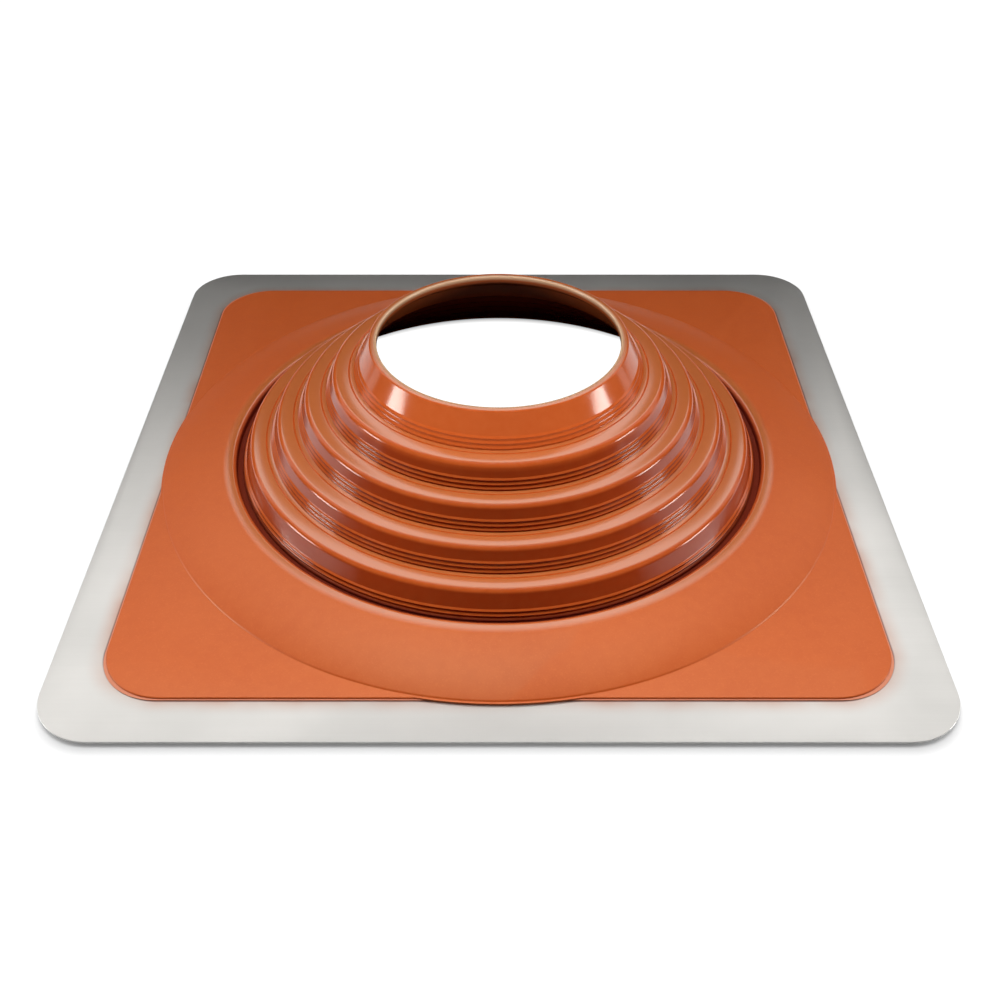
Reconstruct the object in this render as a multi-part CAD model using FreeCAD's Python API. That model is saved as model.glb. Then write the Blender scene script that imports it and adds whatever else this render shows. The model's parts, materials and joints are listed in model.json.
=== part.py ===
import FreeCAD, Part
import math
import os
from FreeCAD import Vector

# Pipe flashing boot: a stepped silicone cone rising from a round dish on a square
# pad, moulded over a square sheet of soft aluminium. The cone is cut off at the
# step that fits its pipe; the aluminium is dressed to the roof and fastened there.
# Millimetres. The origin is on the pipe's axis in the plane of the roof, +Z up.

# Rim and collar
bore_radius = 78.7
rim_width = 4.6
rim_chamfer = 1.3
rim_land_length = 5.0
rim_flare_length = 5.0
collar_height = 20.7
collar_run = 11.0

# Stepped cone
wall = 3.0
step_count = 4
tread_width = 13.6
tread_chamfer = 1.2
riser_height = 15.4
riser_run = 5.8
last_riser_height = 18.6

# Cutting guides: a band of fine ridges round the foot of the collar and each riser
guide_count = 3
guide_pitch = 2.6
guide_height = 0.6

# Groove between the cone and the lip of the dish
groove_floor_height = 10.0
groove_width = 4.2
lip_height = 5.0
lip_chamfer = 2.2

# Dish, swelling slightly as it falls from the lip to the pad
dish_run = 51.3
dish_swell = 2.4

# Square silicone pad
pad_overhang = 3.6
pad_thickness = 1.5
pad_corner_radius = 38.0
pad_edge_chamfer = 0.6

# Square aluminium base
base_border = 29.0
base_thickness = 1.2
base_corner_radius = 35.0
bond_width = 10.0

# Sealing land round the underside, flush with the base
land_width = 9.0

# Radii
collar_foot = bore_radius + rim_width + collar_run
step_run = tread_width + riser_run
riser_slope = riser_run / riser_height
collar_slope = collar_run / collar_height
last_tread_edge = collar_foot + step_count * step_run - riser_run
cone_foot = last_tread_edge + last_riser_height * riser_slope
groove_edge = cone_foot + groove_width
dish_foot = groove_edge + dish_run
base_hole = dish_foot - bond_width
land_inner = base_hole - land_width

# Heights
pad_top = base_thickness + pad_thickness
lip_top = groove_floor_height + lip_height
last_tread = groove_floor_height + last_riser_height
first_tread = last_tread + (step_count - 1) * riser_height
rim_top = first_tread + collar_height

# Squares
pad_side = 2 * (dish_foot - pad_overhang)
base_side = pad_side + 2 * base_border


def guided_slope(foot_radius, foot_height, slope, length):
    """Ridges on a sloping wall, from the top one down to the foot of the wall."""
    count = min(guide_count, int(length / guide_pitch) - 1)
    corners = []
    for number in range(count, 0, -1):
        rise = number * guide_pitch
        corners.append((foot_radius - rise * slope, foot_height + rise, 0))
        rise -= guide_pitch / 2
        corners.append((foot_radius - rise * slope + guide_height, foot_height + rise, 0))
    corners.append((foot_radius, foot_height, 0))
    return corners


def cone_outside():
    """Rim, collar, treads and risers, down to the floor of the groove."""
    corners = [(bore_radius, rim_top, rim_chamfer), (bore_radius + rim_width, rim_top, rim_chamfer)]
    corners += guided_slope(collar_foot, first_tread, collar_slope, collar_height)
    for step in range(step_count):
        tread_edge = collar_foot + step * step_run + tread_width
        tread_height = first_tread - step * riser_height
        corners.append((tread_edge, tread_height, tread_chamfer))
        drop = riser_height if step < step_count - 1 else last_riser_height
        corners += guided_slope(tread_edge + drop * riser_slope, tread_height - drop, riser_slope, drop)
    return corners


def dish_outside():
    """Groove, lip and dish, down to the top face of the base."""
    swell_radius = groove_edge + dish_run / 2
    swell_height = (lip_top + pad_top) / 2 + dish_swell
    return [
        (groove_edge, groove_floor_height, 0),
        (groove_edge, lip_top, lip_chamfer),
        (swell_radius, swell_height, 0),
        (dish_foot, pad_top, 0),
        (dish_foot, base_thickness, 0),
    ]


def sealing_land():
    """Edge of the base's hole, then the land that lies on the roof inside it."""
    return [(base_hole, base_thickness, 0), (base_hole, 0, 0), (land_inner, 0, 0)]


def dish_inside():
    """Underside of the dish and of the groove, one wall below the outside."""
    dish_slope = (lip_top - pad_top) / dish_run
    land_top = pad_top + (dish_foot - land_inner) * dish_slope - wall
    lip_under = lip_top - wall * (1 + dish_slope)
    return [
        (land_inner, land_top, 0),
        (groove_edge + wall, lip_under, 0),
        (groove_edge + wall, groove_floor_height - wall, 0),
    ]


def inner_corner(radius, height, slope):
    """Corner of the inside: one wall in from a sloping wall, one wall below a tread."""
    offset = wall * math.sqrt(1 + slope ** 2)
    return (radius + wall * slope - offset, height - wall, 0)


def cone_inside():
    """Inside of the risers, treads and collar, up to the land in the rim."""
    corners = [inner_corner(cone_foot, groove_floor_height, riser_slope)]
    for step in range(step_count - 1, -1, -1):
        tread_edge = collar_foot + step * step_run + tread_width
        tread_height = first_tread - step * riser_height
        corners.append(inner_corner(tread_edge, tread_height, riser_slope))
        slope = riser_slope if step > 0 else collar_slope
        corners.append(inner_corner(tread_edge - tread_width, tread_height, slope))
    flare_depth = rim_land_length + rim_flare_length
    flare_radius = inner_corner(bore_radius + rim_width, 0, collar_slope)[0]
    flare_radius += (flare_depth - wall) * collar_slope
    corners.append((flare_radius, rim_top - flare_depth, 0))
    corners.append((bore_radius, rim_top - rim_land_length, 0))
    return corners


def chamfered_section(corners):
    """Face in the XZ plane through (radius, height, chamfer) corners."""
    points = [Vector(radius, 0, height) for radius, height, chamfer in corners]
    outline = []
    for index, corner in enumerate(points):
        chamfer = corners[index][2]
        if chamfer > 0:
            back = points[index - 1] - corner
            ahead = points[(index + 1) % len(points)] - corner
            outline.append(corner + back.normalize() * chamfer)
            outline.append(corner + ahead.normalize() * chamfer)
        else:
            outline.append(corner)
    return Part.Face(Part.makePolygon(outline + outline[:1]))


def round_boot():
    """The round part of the moulding: cone, groove, dish and sealing land."""
    corners = cone_outside() + dish_outside() + sealing_land() + dish_inside() + cone_inside()
    return chamfered_section(corners).revolve(Vector(0, 0, 0), Vector(0, 0, 1), 360)


def square_sheet(side, corner_radius, bottom, thickness):
    """Square sheet with rounded corners, centred on the axis."""
    sheet = Part.makeBox(side, side, thickness, Vector(-side / 2, -side / 2, bottom))
    upright_edges = [edge for edge in sheet.Edges if edge.BoundBox.ZLength > thickness / 2]
    return sheet.makeFillet(corner_radius, upright_edges)


def pierced(sheet, bottom, thickness):
    """The sheet with the base's round hole through it."""
    return sheet.cut(Part.makeCylinder(base_hole, thickness, Vector(0, 0, bottom)))


def square_pad():
    """Pad that covers the base, its outer top edge broken by a small chamfer."""
    sheet = square_sheet(pad_side, pad_corner_radius, base_thickness, pad_thickness)
    middle = base_thickness + pad_thickness / 2
    top_edges = [edge for edge in sheet.Edges if edge.BoundBox.ZMin > middle]
    sheet = sheet.makeChamfer(pad_edge_chamfer, top_edges)
    return pierced(sheet, base_thickness, pad_thickness)


def silicone_boot():
    """The moulding: round boot and square pad in one piece."""
    return round_boot().fuse(square_pad()).removeSplitter()


def aluminium_base():
    """Soft aluminium sheet that the boot is moulded over."""
    sheet = square_sheet(base_side, base_corner_radius, 0, base_thickness)
    return pierced(sheet, 0, base_thickness)


def export(name, shape):
    """Write one sub-part as a STEP file named after it."""
    shape.exportStep(os.path.join("parts", name + ".step"))
    print(name, "valid", shape.isValid(), "solids", len(shape.Solids))


os.makedirs("parts", exist_ok=True)
export("silicone_boot", silicone_boot())
export("aluminium_base", aluminium_base())
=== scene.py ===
import bpy
import json
import math
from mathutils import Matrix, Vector


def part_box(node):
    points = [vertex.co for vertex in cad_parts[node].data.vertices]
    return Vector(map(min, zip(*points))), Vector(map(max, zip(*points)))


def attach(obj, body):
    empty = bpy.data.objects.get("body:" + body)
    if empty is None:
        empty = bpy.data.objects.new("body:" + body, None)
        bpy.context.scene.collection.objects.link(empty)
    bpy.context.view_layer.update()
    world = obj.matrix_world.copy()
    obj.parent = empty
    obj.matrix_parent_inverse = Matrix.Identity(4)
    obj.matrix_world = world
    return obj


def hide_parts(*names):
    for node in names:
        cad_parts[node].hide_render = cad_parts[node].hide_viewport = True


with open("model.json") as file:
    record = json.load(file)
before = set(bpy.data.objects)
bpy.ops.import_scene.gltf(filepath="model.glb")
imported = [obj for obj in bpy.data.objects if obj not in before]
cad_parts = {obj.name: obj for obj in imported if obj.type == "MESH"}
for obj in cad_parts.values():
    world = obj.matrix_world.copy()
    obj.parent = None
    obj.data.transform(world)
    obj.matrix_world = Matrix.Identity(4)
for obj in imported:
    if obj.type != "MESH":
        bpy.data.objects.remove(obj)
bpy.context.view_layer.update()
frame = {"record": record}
record = frame["record"]
print("frame loaded")

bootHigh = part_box("silicone_boot")[1]
baseLow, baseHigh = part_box("aluminium_base")
boreMount = [mount for mount in record["mounts"] if mount["name"] == "pipe_bore"][0]

# the moulded boot, in metres; heights are from the roof plane
boot = {
    "sides": 280,
    "boreRadius": boreMount["dims"]["r_mm"] / 1000,
    "rimTop": bootHigh[2],
    "rimWidth": 0.0046,
    "rimLand": 0.005,
    "rimFlare": 0.005,
    "collarHeight": 0.0207,
    "collarRun": 0.011,
    "steps": 4,
    "tread": 0.0136,
    "riserHeight": 0.0154,
    "riserRun": 0.0058,
    "lastRiser": 0.0186,
    "wall": 0.003,
    "guides": 3,
    "guidePitch": 0.0026,
    "guideWidth": 0.0018,
    "guideHeight": 0.0009,
    "hairline": 0.0033,      # how far the scribed line on a tread is from the wall above
    "hairlineWidth": 0.0011,
    "hairlineDepth": 0.0004,
    "grooveWidth": 0.0042,
    "lipHeight": 0.005,
    "lipFlat": 0.0095,       # almost level ring between the groove and the dish
    "lipFall": 0.0002,       # how far its outer edge drops
    "dishFoot": bootHigh[0],
    "dishSwell": 0.0026,     # how far the dish bulges over a straight slope
    "dishShoulder": 0.6,     # where along the dish it bulges most
    "footStep": 0.0008,      # low steep edge where the dish meets the pad
    "footStepRun": 0.00064,
    "footBrim": 0.0012,      # flat of the dish foot outside the step
    "land": 0.009,
    "bond": 0.010,
    "rounds": {              # how far each kind of edge is rounded, and in how many segments
        "rim": (0.002116, 6),
        "tread": (0.0026, 5),
        "guide": (0.00025, 2),
        "foot": (0.0005, 3),
        "lip": (0.003, 7),
        "flat": (0.0024, 3),
        "dish": (0.012, 8),
        "step": (0.0004, 3),
        "crease": (0.0003, 3),
        "inside": (0.0012, 2),
    },
}
pad = {
    "overhang": 0.0036,
    "thickness": 0.0015,
    "cornerRadius": 0.038,
    "flash": 0.0008,         # thin flash left round the raised pad, widest at the corners
    "flashCornerRadius": 0.0358,
    "flashThickness": 0.0004,
    "cornerSegments": 16,
    "flashCornerSegments": 14,
    "edgeRound": 0.0008,
    "edgeSegments": 4,
}
base = {
    "cornerRadius": 0.035,
    "cornerSegments": 20,
    "edgeRound": 0.00035,
    "edgeSegments": 3,
    "underRound": 0.000175,
    "underSegments": 2,
}


def deselectAll():
    if bpy.context.object and bpy.context.object.mode != "OBJECT":
        bpy.ops.object.mode_set(mode="OBJECT")
    bpy.ops.object.select_all(action="DESELECT")


def applyModifiers(piece):
    bpy.context.view_layer.objects.active = piece
    for modifier in list(piece.modifiers):
        bpy.ops.object.modifier_apply(modifier=modifier.name)


def pickEdges(piece, test):
    # selects the edges of a piece whose two ends get the same mark from the test
    bpy.ops.object.mode_set(mode="OBJECT")
    vertices = piece.data.vertices
    for polygon in piece.data.polygons:
        polygon.select = False
    for vertex in vertices:
        vertex.select = False
    marks = [test(vertex.co) for vertex in vertices]
    for edge in piece.data.edges:
        first, second = (marks[index] for index in edge.vertices)
        edge.select = first > 0 and first == second
    bpy.ops.object.mode_set(mode="EDIT")
    bpy.ops.mesh.select_mode(type="EDGE")


def ringNumber(point, rings):
    # which of the rings a point lies on, counted from one, or zero for none
    radius = math.hypot(point.x, point.y)
    for number, (ringRadius, ringHeight) in enumerate(rings, 1):
        if abs(radius - ringRadius) < 2e-5 and abs(point.z - ringHeight) < 2e-5:
            return number
    return 0


def roundRings(piece, rings, offset, segments):
    # bevels the edge loops that lie on the given (radius, height) rings
    pickEdges(piece, lambda point: ringNumber(point, rings))
    bpy.ops.mesh.bevel(offset=offset, segments=segments, profile=0.5, clamp_overlap=True)


def spunPiece(name, rings, sides):
    # one closed ring of walls: a circle extruded from ring to ring and welded to its start
    deselectAll()
    firstRadius, firstHeight = rings[0]
    bpy.ops.mesh.primitive_circle_add(vertices=sides, radius=firstRadius, location=(0, 0, 0))
    piece = bpy.context.object
    piece.name = name
    piece.data.name = name
    bpy.ops.object.mode_set(mode="EDIT")
    bpy.ops.mesh.select_all(action="SELECT")
    bpy.ops.transform.translate(value=(0, 0, firstHeight))
    radius, height = firstRadius, firstHeight
    for nextRadius, nextHeight in rings[1:] + rings[:1]:
        bpy.ops.mesh.extrude_edges_move(TRANSFORM_OT_translate={"value": (0, 0, nextHeight - height)})
        ratio = nextRadius / radius
        bpy.ops.transform.resize(value=(ratio, ratio, 1), center_override=(0, 0, nextHeight))
        radius, height = nextRadius, nextHeight
    bpy.ops.mesh.select_all(action="SELECT")
    bpy.ops.mesh.remove_doubles(threshold=2e-6)
    bpy.ops.mesh.normals_make_consistent(inside=False)
    return piece


def roundedSlab(name, side, cornerRadius, bottom, top, cornerSegments):
    # a square slab with upright rounded corners
    deselectAll()
    bpy.ops.mesh.primitive_cube_add(size=1, location=(0, 0, 0))
    slab = bpy.context.object
    slab.name = name
    slab.data.name = name
    bpy.ops.object.mode_set(mode="EDIT")
    bpy.ops.mesh.select_all(action="SELECT")
    bpy.ops.transform.resize(value=(side, side, top - bottom), center_override=(0, 0, 0))
    bpy.ops.transform.translate(value=(0, 0, (top + bottom) / 2))
    bpy.ops.object.mode_set(mode="OBJECT")
    mesh = slab.data
    bpy.ops.object.mode_set(mode="EDIT")
    bpy.ops.mesh.select_mode(type="EDGE")
    bpy.ops.mesh.select_all(action="DESELECT")
    bpy.ops.object.mode_set(mode="OBJECT")
    for edge in mesh.edges:
        ends = [mesh.vertices[index].co for index in edge.vertices]
        edge.select = abs(ends[0].z - ends[1].z) > (top - bottom) / 2
    bpy.ops.object.mode_set(mode="EDIT")
    bpy.ops.mesh.bevel(offset=cornerRadius, segments=cornerSegments, profile=0.5, clamp_overlap=False)
    return slab


def slopeRings(footRadius, footHeight, slope):
    # the rings of the cutting ridges on a leaning wall, top one first, then the foot
    rings = []
    for number in range(boot["guides"], 0, -1):
        middle = number * boot["guidePitch"] - boot["guidePitch"] / 2
        half = boot["guideWidth"] / 2
        for rise, out in ((middle + half, 0), (middle, boot["guideHeight"]), (middle - half, 0)):
            rings.append((footRadius - rise * slope + out, footHeight + rise))
    rings.append((footRadius, footHeight))
    return rings


riserSlope = boot["riserRun"] / boot["riserHeight"]
collarSlope = boot["collarRun"] / boot["collarHeight"]
stepRun = boot["tread"] + boot["riserRun"]
collarFoot = boot["boreRadius"] + boot["rimWidth"] + boot["collarRun"]
firstTread = boot["rimTop"] - boot["collarHeight"]
coneFoot = collarFoot + boot["steps"] * stepRun - boot["riserRun"] + boot["lastRiser"] * riserSlope
grooveFloor = firstTread - (boot["steps"] - 1) * boot["riserHeight"] - boot["lastRiser"]
grooveEdge = coneFoot + boot["grooveWidth"]
lipTop = grooveFloor + boot["lipHeight"]
padTop = baseHigh[2] + pad["thickness"]
flashTop = baseHigh[2] + pad["flashThickness"]
baseHole = boot["dishFoot"] - boot["bond"]


def bootRings():
    # walks round the section of the boot, and notes which rings get which rounding
    rounding = {kind: [] for kind in boot["rounds"]}

    rings = [(boot["boreRadius"], boot["rimTop"]), (boot["boreRadius"] + boot["rimWidth"], boot["rimTop"])]
    rounding["rim"] += rings[:2]
    slope = slopeRings(collarFoot, firstTread, collarSlope)
    rounding["guide"] += slope[:-1]
    rounding["foot"].append(slope[-1])
    rings += slope
    for step in range(boot["steps"]):
        inner = collarFoot + step * stepRun
        height = firstTread - step * boot["riserHeight"]
        edge = inner + boot["tread"]
        line = inner + boot["hairline"]
        half = boot["hairlineWidth"] / 2
        rings += [(line - half, height), (line, height - boot["hairlineDepth"]), (line + half, height)]
        rings.append((edge, height))
        rounding["tread"].append(rings[-1])
        drop = boot["riserHeight"] if step < boot["steps"] - 1 else boot["lastRiser"]
        slope = slopeRings(edge + drop * riserSlope, height - drop, riserSlope)
        rounding["guide"] += slope[:-1]
        rounding["foot"].append(slope[-1])
        rings += slope

    rings.append((grooveEdge, grooveFloor))
    rounding["foot"].append(rings[-1])
    rings.append((grooveEdge, lipTop))
    rounding["lip"].append(rings[-1])
    dishRun = boot["dishFoot"] - grooveEdge
    creaseRadius = boot["dishFoot"] - boot["footBrim"]
    flatEdge = grooveEdge + boot["lipFlat"]
    rings.append((flatEdge, lipTop - boot["lipFall"]))
    rounding["flat"].append(rings[-1])
    part = boot["dishShoulder"]
    shoulderHeight = lipTop + (padTop - lipTop) * part + boot["dishSwell"]
    rings.append((flatEdge + (creaseRadius - flatEdge) * part, shoulderHeight))
    rounding["dish"].append(rings[-1])
    rings.append((creaseRadius - boot["footStepRun"], padTop + boot["footStep"]))
    rounding["step"].append(rings[-1])
    rings.append((creaseRadius, padTop))
    rounding["crease"].append(rings[-1])
    rings.append((boot["dishFoot"], padTop))
    rings.append((boot["dishFoot"], baseHigh[2]))
    landInner = baseHole - boot["land"]
    rings += [(baseHole, baseHigh[2]), (baseHole, 0), (landInner, 0)]

    wall = boot["wall"]
    dishSlope = (lipTop - padTop) / dishRun
    rings.append((landInner, padTop + (boot["dishFoot"] - landInner) * dishSlope - wall))
    rounding["inside"].append(rings[-1])
    rings.append((grooveEdge + wall, lipTop - wall * (1 + dishSlope)))
    rounding["inside"].append(rings[-1])
    rings.append((grooveEdge + wall, grooveFloor - wall))
    rounding["inside"].append(rings[-1])
    riserOffset = wall * math.hypot(1, riserSlope) - wall * riserSlope
    collarOffset = wall * math.hypot(1, collarSlope) - wall * collarSlope
    rings.append((coneFoot - riserOffset, grooveFloor - wall))
    rounding["inside"].append(rings[-1])
    for step in range(boot["steps"] - 1, -1, -1):
        inner = collarFoot + step * stepRun
        height = firstTread - step * boot["riserHeight"] - wall
        rings.append((inner + boot["tread"] - riserOffset, height))
        rings.append((inner - (riserOffset if step > 0 else collarOffset), height))
        rounding["inside"] += rings[-2:]
    flareDepth = boot["rimLand"] + boot["rimFlare"]
    flareRadius = boot["boreRadius"] + boot["rimWidth"] + flareDepth * collarSlope
    flareRadius -= wall * math.hypot(1, collarSlope)
    rings.append((flareRadius, boot["rimTop"] - flareDepth))
    rings.append((boot["boreRadius"], boot["rimTop"] - boot["rimLand"]))
    rounding["inside"] += rings[-2:]
    return rings, rounding


def makeBoot():
    rings, rounding = bootRings()
    piece = spunPiece("boot", rings, boot["sides"])
    for kind, (offset, segments) in boot["rounds"].items():
        roundRings(piece, rounding[kind], offset, segments)
    bpy.ops.object.mode_set(mode="OBJECT")
    return piece


def makePad():
    # the raised pad and the thin flash round it, as two slabs joined
    outerSide = 2 * (boot["dishFoot"] - pad["overhang"])
    bottom = baseHigh[2]
    innerSide = outerSide - 2 * pad["flash"]
    flash = roundedSlab(
        "flash", outerSide, pad["flashCornerRadius"], bottom, flashTop, pad["flashCornerSegments"])
    slab = roundedSlab("pad", innerSide, pad["cornerRadius"], bottom, padTop, pad["cornerSegments"])
    pickEdges(slab, lambda point: abs(point.z - padTop) < 1e-6)
    bpy.ops.mesh.bevel(offset=pad["edgeRound"], segments=pad["edgeSegments"], profile=0.5)
    bpy.ops.object.mode_set(mode="OBJECT")
    joinPieces(slab, flash)
    cutHole(slab)
    return slab


def joinPieces(piece, other):
    modifier = piece.modifiers.new("joined", "BOOLEAN")
    modifier.operation = "UNION"
    modifier.solver = "EXACT"
    modifier.object = other
    applyModifiers(piece)
    bpy.data.objects.remove(other, do_unlink=True)


def cutHole(slab):
    # the round hole of the base goes through the slab
    deselectAll()
    bpy.ops.mesh.primitive_cylinder_add(
        vertices=boot["sides"], radius=baseHole, depth=0.02, location=(0, 0, 0))
    cutter = bpy.context.object
    modifier = slab.modifiers.new("hole", "BOOLEAN")
    modifier.operation = "DIFFERENCE"
    modifier.solver = "EXACT"
    modifier.object = cutter
    applyModifiers(slab)
    bpy.data.objects.remove(cutter, do_unlink=True)


def makeBase():
    side = baseHigh[0] - baseLow[0]
    sheet = roundedSlab("base_sheet", side, base["cornerRadius"], 0, baseHigh[2], base["cornerSegments"])
    pickEdges(sheet, lambda point: abs(point.z - baseHigh[2]) < 1e-6)
    bpy.ops.mesh.bevel(offset=base["edgeRound"], segments=base["edgeSegments"], profile=0.5)
    pickEdges(sheet, lambda point: abs(point.z) < 1e-6)
    bpy.ops.mesh.bevel(offset=base["underRound"], segments=base["underSegments"], profile=0.5)
    bpy.ops.object.mode_set(mode="OBJECT")
    cutHole(sheet)
    return sheet


def smoothByAngle(piece, degrees):
    deselectAll()
    piece.select_set(True)
    bpy.context.view_layer.objects.active = piece
    bpy.ops.object.shade_smooth_by_angle(angle=math.radians(degrees))


bootPiece = makeBoot()
print("round boot modelled", len(bootPiece.data.polygons), "faces")
joinPieces(bootPiece, makePad())
smoothByAngle(bootPiece, 35)
print("pad joined to the boot", len(bootPiece.data.polygons), "faces")
basePiece = makeBase()
smoothByAngle(basePiece, 35)
print("base sheet modelled", len(basePiece.data.polygons), "faces")


class Value:
    # a shader value or vector that takes part in ordinary Python sums
    def __init__(self, finish, socket):
        self.finish = finish
        self.socket = socket

    def sum(self, operation, first, second):
        vector = any(isinstance(part, tuple) or getattr(getattr(part, "socket", None), "type", "") == "VECTOR"
                     for part in (first, second))
        kind = "ShaderNodeVectorMath" if vector else "ShaderNodeMath"
        return self.finish.node(kind, {"operation": operation}, {0: first, 1: second})

    def __add__(self, other):
        return self.sum("ADD", self, other)

    def __radd__(self, other):
        return self.sum("ADD", other, self)

    def __sub__(self, other):
        return self.sum("SUBTRACT", self, other)

    def __rsub__(self, other):
        return self.sum("SUBTRACT", other, self)

    def __mul__(self, other):
        return self.sum("MULTIPLY", self, other)

    def __rmul__(self, other):
        return self.sum("MULTIPLY", other, self)


class Finish:
    # the nodes of a material or a world; node() adds one, with its settings first and then its sockets
    def __init__(self, owner):
        self.owner = owner
        owner.use_nodes = True
        self.tree = owner.node_tree
        self.tree.nodes.clear()

    def node(self, kind, settings=None, inputs=None, output=0):
        made = self.tree.nodes.new(kind)
        for key, value in (settings or {}).items():
            setattr(made, key, value)
        for key, value in (inputs or {}).items():
            if isinstance(value, Value):
                self.tree.links.new(value.socket, made.inputs[key])
            else:
                made.inputs[key].default_value = value
        if not made.outputs:
            return None
        return Value(self, made.outputs[output])

    def noise(self, place, scale, detail=2.0, roughness=0.5):
        inputs = {"Vector": place, "Scale": scale, "Detail": detail, "Roughness": roughness}
        return self.node("ShaderNodeTexNoise", inputs=inputs)

    def stretch(self, value, low, high):
        # brings low to high onto 0 to 1 and stops there
        inputs = {"Value": value, "From Min": low, "From Max": high}
        return self.node("ShaderNodeMapRange", {"clamp": True}, inputs)

    def fade(self, value, middle, width):
        # turns from 0 to 1 about the middle
        return self.stretch(value, middle - width / 2, middle + width / 2)

    def mixColour(self, factor, first, second):
        return self.node("ShaderNodeMix", {"data_type": "RGBA"}, {0: factor, 6: first, 7: second}, 2)

    def lengthOf(self, vector):
        return self.node("ShaderNodeVectorMath", {"operation": "LENGTH"}, {0: vector}, 1)

    def part(self, vector, axis):
        return self.node("ShaderNodeSeparateXYZ", inputs={0: vector}, output="XYZ".index(axis))

    def gapTo(self, place, half, cornerRadius):
        # how far a place lies outside a square with rounded corners, or inside it when below zero
        inner = half - cornerRadius
        beyond = self.node("ShaderNodeVectorMath", {"operation": "ABSOLUTE"}, {0: place * (1, 1, 0)})
        beyond = beyond - (inner, inner, 0)
        beyond = self.node("ShaderNodeVectorMath", {"operation": "MAXIMUM"}, {0: beyond, 1: (0, 0, 0)})
        return self.lengthOf(beyond) - cornerRadius

    def output(self, surface):
        self.node("ShaderNodeOutputMaterial", inputs={"Surface": surface})
        return self.owner


def linear(red, green, blue):
    # a colour picked as 0 to 255 screen values
    parts = []
    for part in (red, green, blue):
        part /= 255
        parts.append(part / 12.92 if part <= 0.04045 else ((part + 0.055) / 1.055) ** 2.4)
    return (*parts, 1)


silicone = {
    "colour": linear(206, 92, 37),
    "deep": linear(194, 78, 28),
    "pale": linear(218, 110, 54),
    "paintedSheen": linear(228, 140, 82),    # painted sheen: the flat rings are painted paler than the rest, for the light they reflect
    # painted shade: the groove is painted dark, where shade falls
    "groove": linear(104, 21, 5),
    "paintedCollarLight": linear(190, 104, 62),  # painted light: the steep collar is painted a little paler than the sides of the treads
    "paintedRiserShade": linear(146, 38, 10),   # painted shade: the steep faces below the collar, down to the groove, are painted darker
    "rim": linear(240, 200, 160),    # painted highlight along the thin top edge
    "film": linear(226, 158, 132),   # the flash is so thin that the metal shows through
    "strengths": {
        "paintedSheen": 0.52,
        "paintedRiserShade": 0.8,
        "paintedCollarLight": 0.45,
        "groove": 0.95,
        "rim": 0.85,
        "film": 0.6,
    },
    "fades": {               # how far from its edge each change lies, and how wide it is
        "matt": (0.0072, 0.004),            # outwards from the outer edge of the groove
        "coneSide": (-0.0003, 0.0004),      # outwards from there too
        "grooveEnd": (0.00235, 0.0013),     # and this one as well
        "grooveStart": (-0.0005, 0.0012),   # outwards from the foot of the cone
        "grooveLip": (-0.0011, 0.0018),     # up from the lip
        "grooveFloor": (-0.0002, 0.0002),   # up from the floor of the groove
        "recessTop": (-0.0028, 0.004),      # up from the foot of the collar
        "collarFoot": (0.0007, 0.004),      # up from there too
        "rimDown": (-0.002, 0.002),         # up from the rim
        "rimOut": (0.0016, 0.0018),         # outwards from the bore
        "film": (0.0002, 0.0002),           # up from the flash
    },
    "coneRoughness": 0.12,   # the cone is polished in the mould, the rest is matt
    "grooveRoughness": 0.8,  # added in the groove, which isn't polished
    "padRoughness": 0.42,
    "coneDensity": 1.5,      # refractive indices
    "padDensity": 1.8,
    "padGloss": (1, 0.86, 0.55, 1),
    "coneGloss": (1, 0.97, 0.9, 1),
    "sheen": 1.0,            # clear gloss on the flat rings of the cone
    "sheenTint": (0.94, 0.94, 0.9, 1),
    "sheenRoughness": 0.15,
    "sheenDensity": 2.15,
    "grain": 900,
    "grainDepth": 0.0002,
}
aluminium = {
    "colour": linear(247, 244, 239),
    "dull": linear(236, 234, 229),
    "padTint": linear(224, 178, 158),   # pinkish tint on the sheet beside the pad
    "padTintWidth": 0.012,
    "padEdgeLine": linear(122, 72, 62),        # dark line right beside the pad
    "padEdgeLineWidth": 0.0013,
    "edge": linear(252, 251, 248),      # painted highlight: the sheet's side edge is painted brighter than the face
    "edgeStart": 0.005,                 # how far outside the pad the painted edge highlight may begin
    "roughness": 0.34,
    "metal": 0.86,
    "edgeMetal": 0.06,
}


def siliconeColour(finish, place, zones):
    # the rubber's own mottled colour, then each zone's colour over it: painted sheen, painted light and
    # painted shade on the cone, a painted highlight on the rim, and the thin flash
    clouds = finish.stretch(finish.noise(place, 9, 3), 0.35, 0.65)
    mottle = finish.stretch(finish.noise(place, 160, 3), 0.35, 0.68)
    speck = finish.stretch(finish.noise(place, silicone["grain"], 2), 0.56, 0.72)
    colour = finish.mixColour(clouds * 0.4, silicone["colour"], silicone["deep"])
    colour = finish.mixColour(mottle * 0.2, colour, silicone["pale"])
    colour = finish.mixColour(speck * (0.1 + zones["matt"] * 0.25), colour, silicone["pale"])
    for zone, strength in silicone["strengths"].items():
        colour = finish.mixColour(zones[zone] * strength, colour, silicone[zone])
    return colour, clouds, mottle


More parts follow.
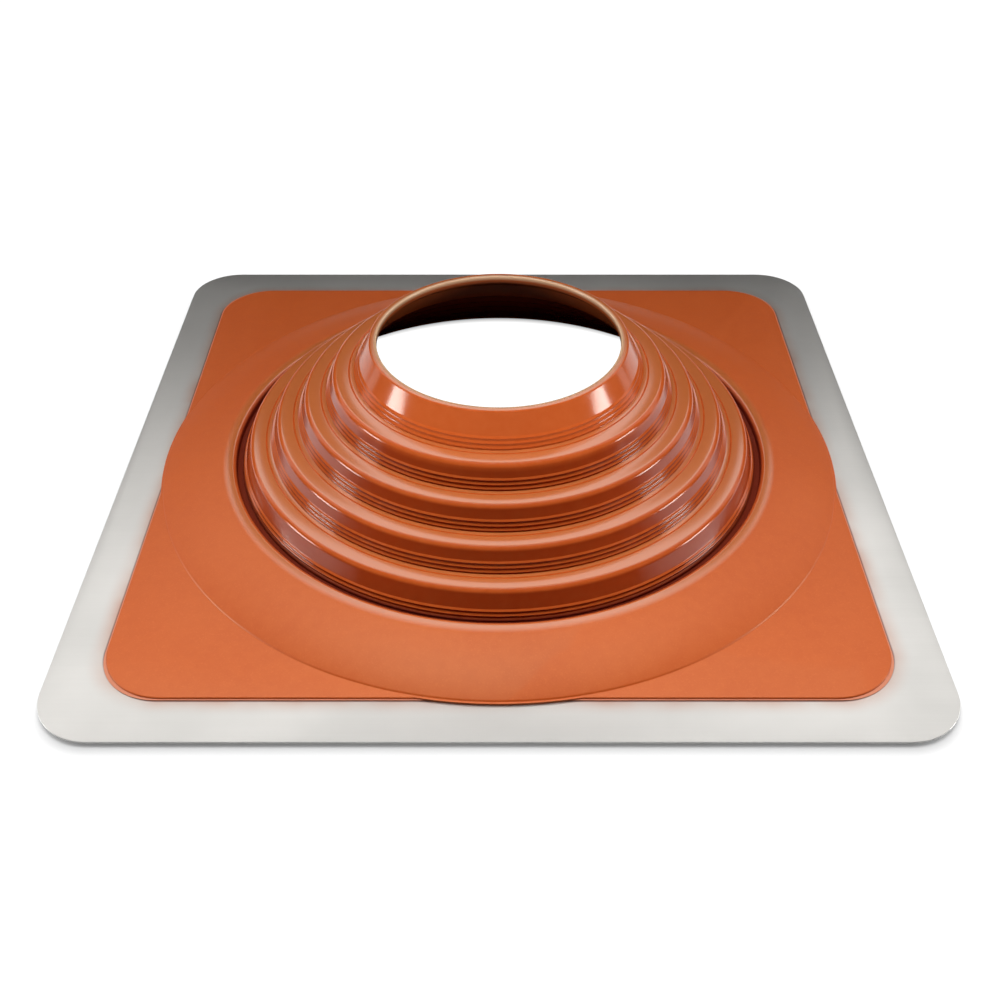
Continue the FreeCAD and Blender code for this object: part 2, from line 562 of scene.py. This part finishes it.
def siliconeZones(finish, place):
    # where on the boot each zone's colour belongs, from 0 to 1
    facing = finish.part(finish.node("ShaderNodeTexCoord", output="Normal"), "Z")
    height = finish.part(place, "Z")
    radius = finish.lengthOf(place * (1, 1, 0))

    def past(value, edge, name):
        # 0 before the edge and 1 past it
        distance, width = silicone["fades"][name]
        return finish.fade(value, edge + distance, width)

    matt = past(radius, grooveEdge, "matt")
    flat = finish.stretch(facing, 0.94, 0.995)
    steep = 1 - finish.stretch(facing, 0.3, 0.7)
    onCone = (1 - past(radius, grooveEdge, "coneSide")) * past(height, grooveFloor, "grooveFloor")
    groove = past(radius, coneFoot, "grooveStart") * (1 - past(radius, grooveEdge, "grooveEnd"))
    aboveRoof = finish.stretch(height, baseHigh[2] / 2, baseHigh[2])
    return {
        "matt": matt,
        "flat": flat,
        # the next five zones carry painted light and shade: a paler sheen on the flat rings, darker steep
        # faces below the collar, a paler collar, a dark groove and a pale highlight along the rim
        "paintedSheen": flat * (1 - matt),
        "paintedRiserShade": steep * (1 - past(height, firstTread, "recessTop")) * onCone,
        "paintedCollarLight": steep * past(height, firstTread, "collarFoot"),
        "groove": groove * (1 - past(height, lipTop, "grooveLip")),
        "rim": past(height, boot["rimTop"], "rimDown") * (1 - past(radius, boot["boreRadius"], "rimOut")),
        "film": (1 - past(height, flashTop, "film")) * aboveRoof,
    }


def siliconeFinish():
    finish = Finish(bpy.data.materials.new("moulded_silicone"))
    place = finish.node("ShaderNodeTexCoord", output="Object")
    zones = siliconeZones(finish, place)
    colour, clouds, mottle = siliconeColour(finish, place, zones)
    grain = finish.noise(place, silicone["grain"], 2) * (0.1 + zones["matt"] * 0.9)
    bump = finish.node("ShaderNodeBump", inputs={
        "Strength": 0.25, "Distance": silicone["grainDepth"], "Height": grain})
    roughness = silicone["coneRoughness"] + mottle * 0.02 + clouds * 0.02
    roughness = roughness + zones["groove"] * silicone["grooveRoughness"]
    cone = finish.node("ShaderNodeBsdfPrincipled", inputs={
        "Base Color": colour, "Roughness": roughness, "Normal": bump,
        "IOR": silicone["coneDensity"], "Specular Tint": silicone["coneGloss"],
        "Coat Weight": zones["flat"] * (1 - zones["groove"]) * silicone["sheen"],
        "Coat Roughness": silicone["sheenRoughness"], "Coat IOR": silicone["sheenDensity"],
        "Coat Tint": silicone["sheenTint"]})
    matt = finish.node("ShaderNodeBsdfPrincipled", inputs={
        "Base Color": colour, "Roughness": silicone["padRoughness"] + mottle * 0.04 + clouds * 0.03,
        "Normal": bump, "IOR": silicone["padDensity"], "Specular Tint": silicone["padGloss"]})
    return finish.output(finish.node("ShaderNodeMixShader", inputs={0: zones["matt"], 1: cone, 2: matt}))


def aluminiumFinish():
    finish = Finish(bpy.data.materials.new("soft_aluminium"))
    place = finish.node("ShaderNodeTexCoord", output="Object")
    facing = finish.part(finish.node("ShaderNodeTexCoord", output="Normal"), "Z")
    along = finish.node("ShaderNodeMapping", inputs={"Vector": place, "Scale": (6, 900, 900)})
    rolling = finish.stretch(finish.noise(along, 1, 4, 0.6), 0.3, 0.7)
    clouds = finish.stretch(finish.noise(place, 14, 3), 0.35, 0.65)
    colour = finish.mixColour(clouds * 0.5 + rolling * 0.15, aluminium["colour"], aluminium["dull"])
    gap = finish.gapTo(place, boot["dishFoot"] - pad["overhang"], pad["cornerRadius"])
    padTintMask = 1 - finish.stretch(gap, 0, aluminium["padTintWidth"])
    patches = 0.3 + finish.stretch(finish.noise(place, 22, 2), 0.35, 0.65) * 0.7
    colour = finish.mixColour(padTintMask * padTintMask * patches, colour, aluminium["padTint"])
    padEdgeLine = 1 - finish.stretch(gap, aluminium["padEdgeLineWidth"] * 0.4, aluminium["padEdgeLineWidth"])
    colour = finish.mixColour(padEdgeLine * 0.75, colour, aluminium["padEdgeLine"])
    # painted highlight on the sheet's side edges: bright and nearly non-metallic
    edge = (1 - finish.stretch(facing, 0.5, 0.95)) * finish.fade(gap, aluminium["edgeStart"], 0.002)
    colour = finish.mixColour(edge, colour, aluminium["edge"])
    height = rolling * 0.2 + finish.noise(place, 30, 2) * 2
    bump = finish.node("ShaderNodeBump", inputs={"Strength": 0.1, "Distance": 0.0004, "Height": height})
    shader = finish.node("ShaderNodeBsdfPrincipled", inputs={
        "Base Color": colour, "Normal": bump,
        "Roughness": aluminium["roughness"] + rolling * 0.05 + clouds * 0.04,
        "Metallic": aluminium["metal"] - edge * (aluminium["metal"] - aluminium["edgeMetal"])})
    return finish.output(shader)


def dress(piece, material, node):
    piece.data.materials.clear()
    piece.data.materials.append(material)
    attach(piece, "root")
    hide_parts(node)


dress(bootPiece, siliconeFinish(), "silicone_boot")
dress(basePiece, aluminiumFinish(), "aluminium_base")
print("finishes set")

studio = {
    "floorSize": 12.0,
    "floorDrop": 0.0022,
    "floorColour": 0.4,
    "floorGlow": 0.8,        # what the camera and mirrors see on top of the light that falls on the floor
    "farGlow": 0.22,         # more of it away from the object
    "hollowGlow": 1.1,       # the floor seen through the pipe opening
    "hollowRadius": 0.19,
    "hollowColour": 0.1,     # the floor is darker there, so that little light gets into the boot
    "underGlow": 0.17,       # share of the glow left below the sheet, which paints a shadow there
    "underShift": 0.006,     # that painted shadow reaches this far out in front
    "skyFill": 0.3,
    "cameraPlace": (0, -0.6700, 0.5076),
    "cameraDown": 39.28,     # degrees below the horizon
    "lens": 43.59,
    "sensor": 36,
    "shift": 0.00125,
    "lamps": [
        # name, place, aim, width, height, watts, spread in degrees, seen in gloss
        ("overhead", (0, -0.05, 1.1), (0, -0.3, 0), 1.0, 0.7, 4.9, 100, False),
        ("left_side", (-1.3, -0.16, 0.29), (0, 0, 0.09), 0.34, 0.26, 4.5, 180, True),
        ("right_side", (1.3, -0.16, 0.29), (0, 0, 0.09), 0.34, 0.26, 4.5, 180, True),
        ("front_strip", (0, -1.15, 0.115), (0, 0, 0.09), 0.5, 0.04, 5, 180, False),
    ],
    "flags": [
        # name, low corner, high corner
        ("front_flag", (-1.7, -1.21, 0), (1.7, -1.2, 1.6)),
        ("back_flag", (-1.7, 0.9, 0), (1.7, 0.91, 0.69)),
        ("left_flag", (-1.71, -1.2, 0), (-1.7, 0.6, 1.5)),
        ("right_flag", (1.7, -1.2, 0), (1.71, 0.6, 1.5)),
        ("top_flag", (-1.7, -1.2, 1.6), (1.7, 0.15, 1.61)),
        ("left_post", (-0.46, 0.89, 0.69), (-0.27, 0.9, 0.96)),
        ("right_post", (0.27, 0.89, 0.69), (0.46, 0.9, 0.96)),
        ("near_front_flag", (-0.34, -0.311, 0), (0.34, -0.31, 0.083)),
        ("rear_shade", (-0.22, 0.06, 0.62), (0.22, 0.17, 0.621)),
    ],
}


def seenRay(finish, kinds=("Is Camera Ray", "Is Glossy Ray", "Is Transmission Ray")):
    # 1 for rays that show the backdrop: from the camera, a mirror or through glass
    outlets = finish.node("ShaderNodeLightPath").socket.node.outputs
    seen = Value(finish, outlets[kinds[0]])
    for kind in kinds[1:]:
        seen = seen + Value(finish, outlets[kind])
    return finish.stretch(seen, 0, 1)


def makeFloor():
    deselectAll()
    bpy.ops.mesh.primitive_plane_add(size=studio["floorSize"], location=(0, 0, 0))
    floor = bpy.context.object
    floor.name = "floor"
    bpy.ops.object.mode_set(mode="EDIT")
    bpy.ops.transform.translate(value=(0, 0, -studio["floorDrop"]))
    bpy.ops.object.mode_set(mode="OBJECT")
    finish = Finish(bpy.data.materials.new("studio_floor"))
    place = finish.node("ShaderNodeTexCoord", output="Object")
    gap = finish.gapTo(place + (0, studio["underShift"], 0), baseHigh[0], base["cornerRadius"])
    # painted contact shadow: less glow below the sheet and just in front of it
    near = studio["underGlow"] + finish.stretch(gap, -0.008, 0.0045) * (1 - studio["underGlow"])
    far = finish.stretch(gap, 0.004, 0.05)
    hollow = 1 - finish.stretch(finish.lengthOf(place), studio["hollowRadius"] - 0.01, studio["hollowRadius"])
    shade = studio["floorColour"] - hollow * (studio["floorColour"] - studio["hollowColour"])
    grey = finish.node("ShaderNodeCombineXYZ", inputs={0: shade, 1: shade, 2: shade})
    matt = finish.node("ShaderNodeBsdfDiffuse", inputs={"Color": grey})
    seen = seenRay(finish) * (1 - hollow) * (near * studio["floorGlow"] + far * studio["farGlow"])
    # the hollow glows for the camera alone, so the wall inside the boot stays dark
    seen = seen + seenRay(finish, ["Is Camera Ray"]) * hollow * studio["hollowGlow"]
    glow = finish.node("ShaderNodeEmission", inputs={"Color": (1, 1, 1, 1), "Strength": seen})
    floor.data.materials.append(finish.output(finish.node("ShaderNodeAddShader", inputs={0: matt, 1: glow})))


def makeFlags():
    # black screens out of sight, which keep the white studio out of the polished faces
    finish = Finish(bpy.data.materials.new("black_screen"))
    black = finish.output(finish.node("ShaderNodeBsdfDiffuse", inputs={"Color": (0.01, 0.01, 0.01, 1)}))
    for name, low, high in studio["flags"]:
        deselectAll()
        bpy.ops.mesh.primitive_cube_add(size=1, location=(0, 0, 0))
        flag = bpy.context.object
        flag.name = name
        size = [end - start for start, end in zip(low, high)]
        middle = [(start + end) / 2 for start, end in zip(low, high)]
        bpy.ops.object.mode_set(mode="EDIT")
        bpy.ops.transform.resize(value=size, center_override=(0, 0, 0))
        bpy.ops.transform.translate(value=middle)
        bpy.ops.object.mode_set(mode="OBJECT")
        flag.data.materials.append(black)
        flag.visible_camera = False


def makeWorld():
    world = bpy.data.worlds.new("studio")
    bpy.context.scene.world = world
    sky = Finish(world)
    seen = seenRay(sky)
    strength = seen * (1 - studio["skyFill"]) + studio["skyFill"]
    background = sky.node("ShaderNodeBackground", inputs={"Color": (1, 1, 1, 1), "Strength": strength})
    sky.node("ShaderNodeOutputWorld", inputs={"Surface": background})


def makeLamps():
    for name, place, aim, width, height, watts, spread, inGloss in studio["lamps"]:
        light = bpy.data.lights.new(name, "AREA")
        light.shape = "RECTANGLE"
        light.size = width
        light.size_y = height
        light.energy = watts
        light.spread = math.radians(spread)
        lamp = bpy.data.objects.new(name, light)
        bpy.context.collection.objects.link(lamp)
        lamp.visible_glossy = inGloss
        lamp.location = place
        lamp.rotation_euler = (Vector(aim) - Vector(place)).to_track_quat("-Z", "Y").to_euler()


def makeCamera():
    lens = bpy.data.cameras.new("camera")
    lens.sensor_width = studio["sensor"]
    lens.lens = studio["lens"]
    lens.shift_x = studio["shift"]
    camera = bpy.data.objects.new("camera", lens)
    bpy.context.collection.objects.link(camera)
    camera.location = studio["cameraPlace"]
    camera.rotation_euler = (math.radians(90 - studio["cameraDown"]), 0, 0)
    bpy.context.scene.camera = camera


makeFloor()
makeFlags()
makeWorld()
makeLamps()
makeCamera()
bpy.context.scene.view_settings.view_transform = "Standard"
print("studio set")
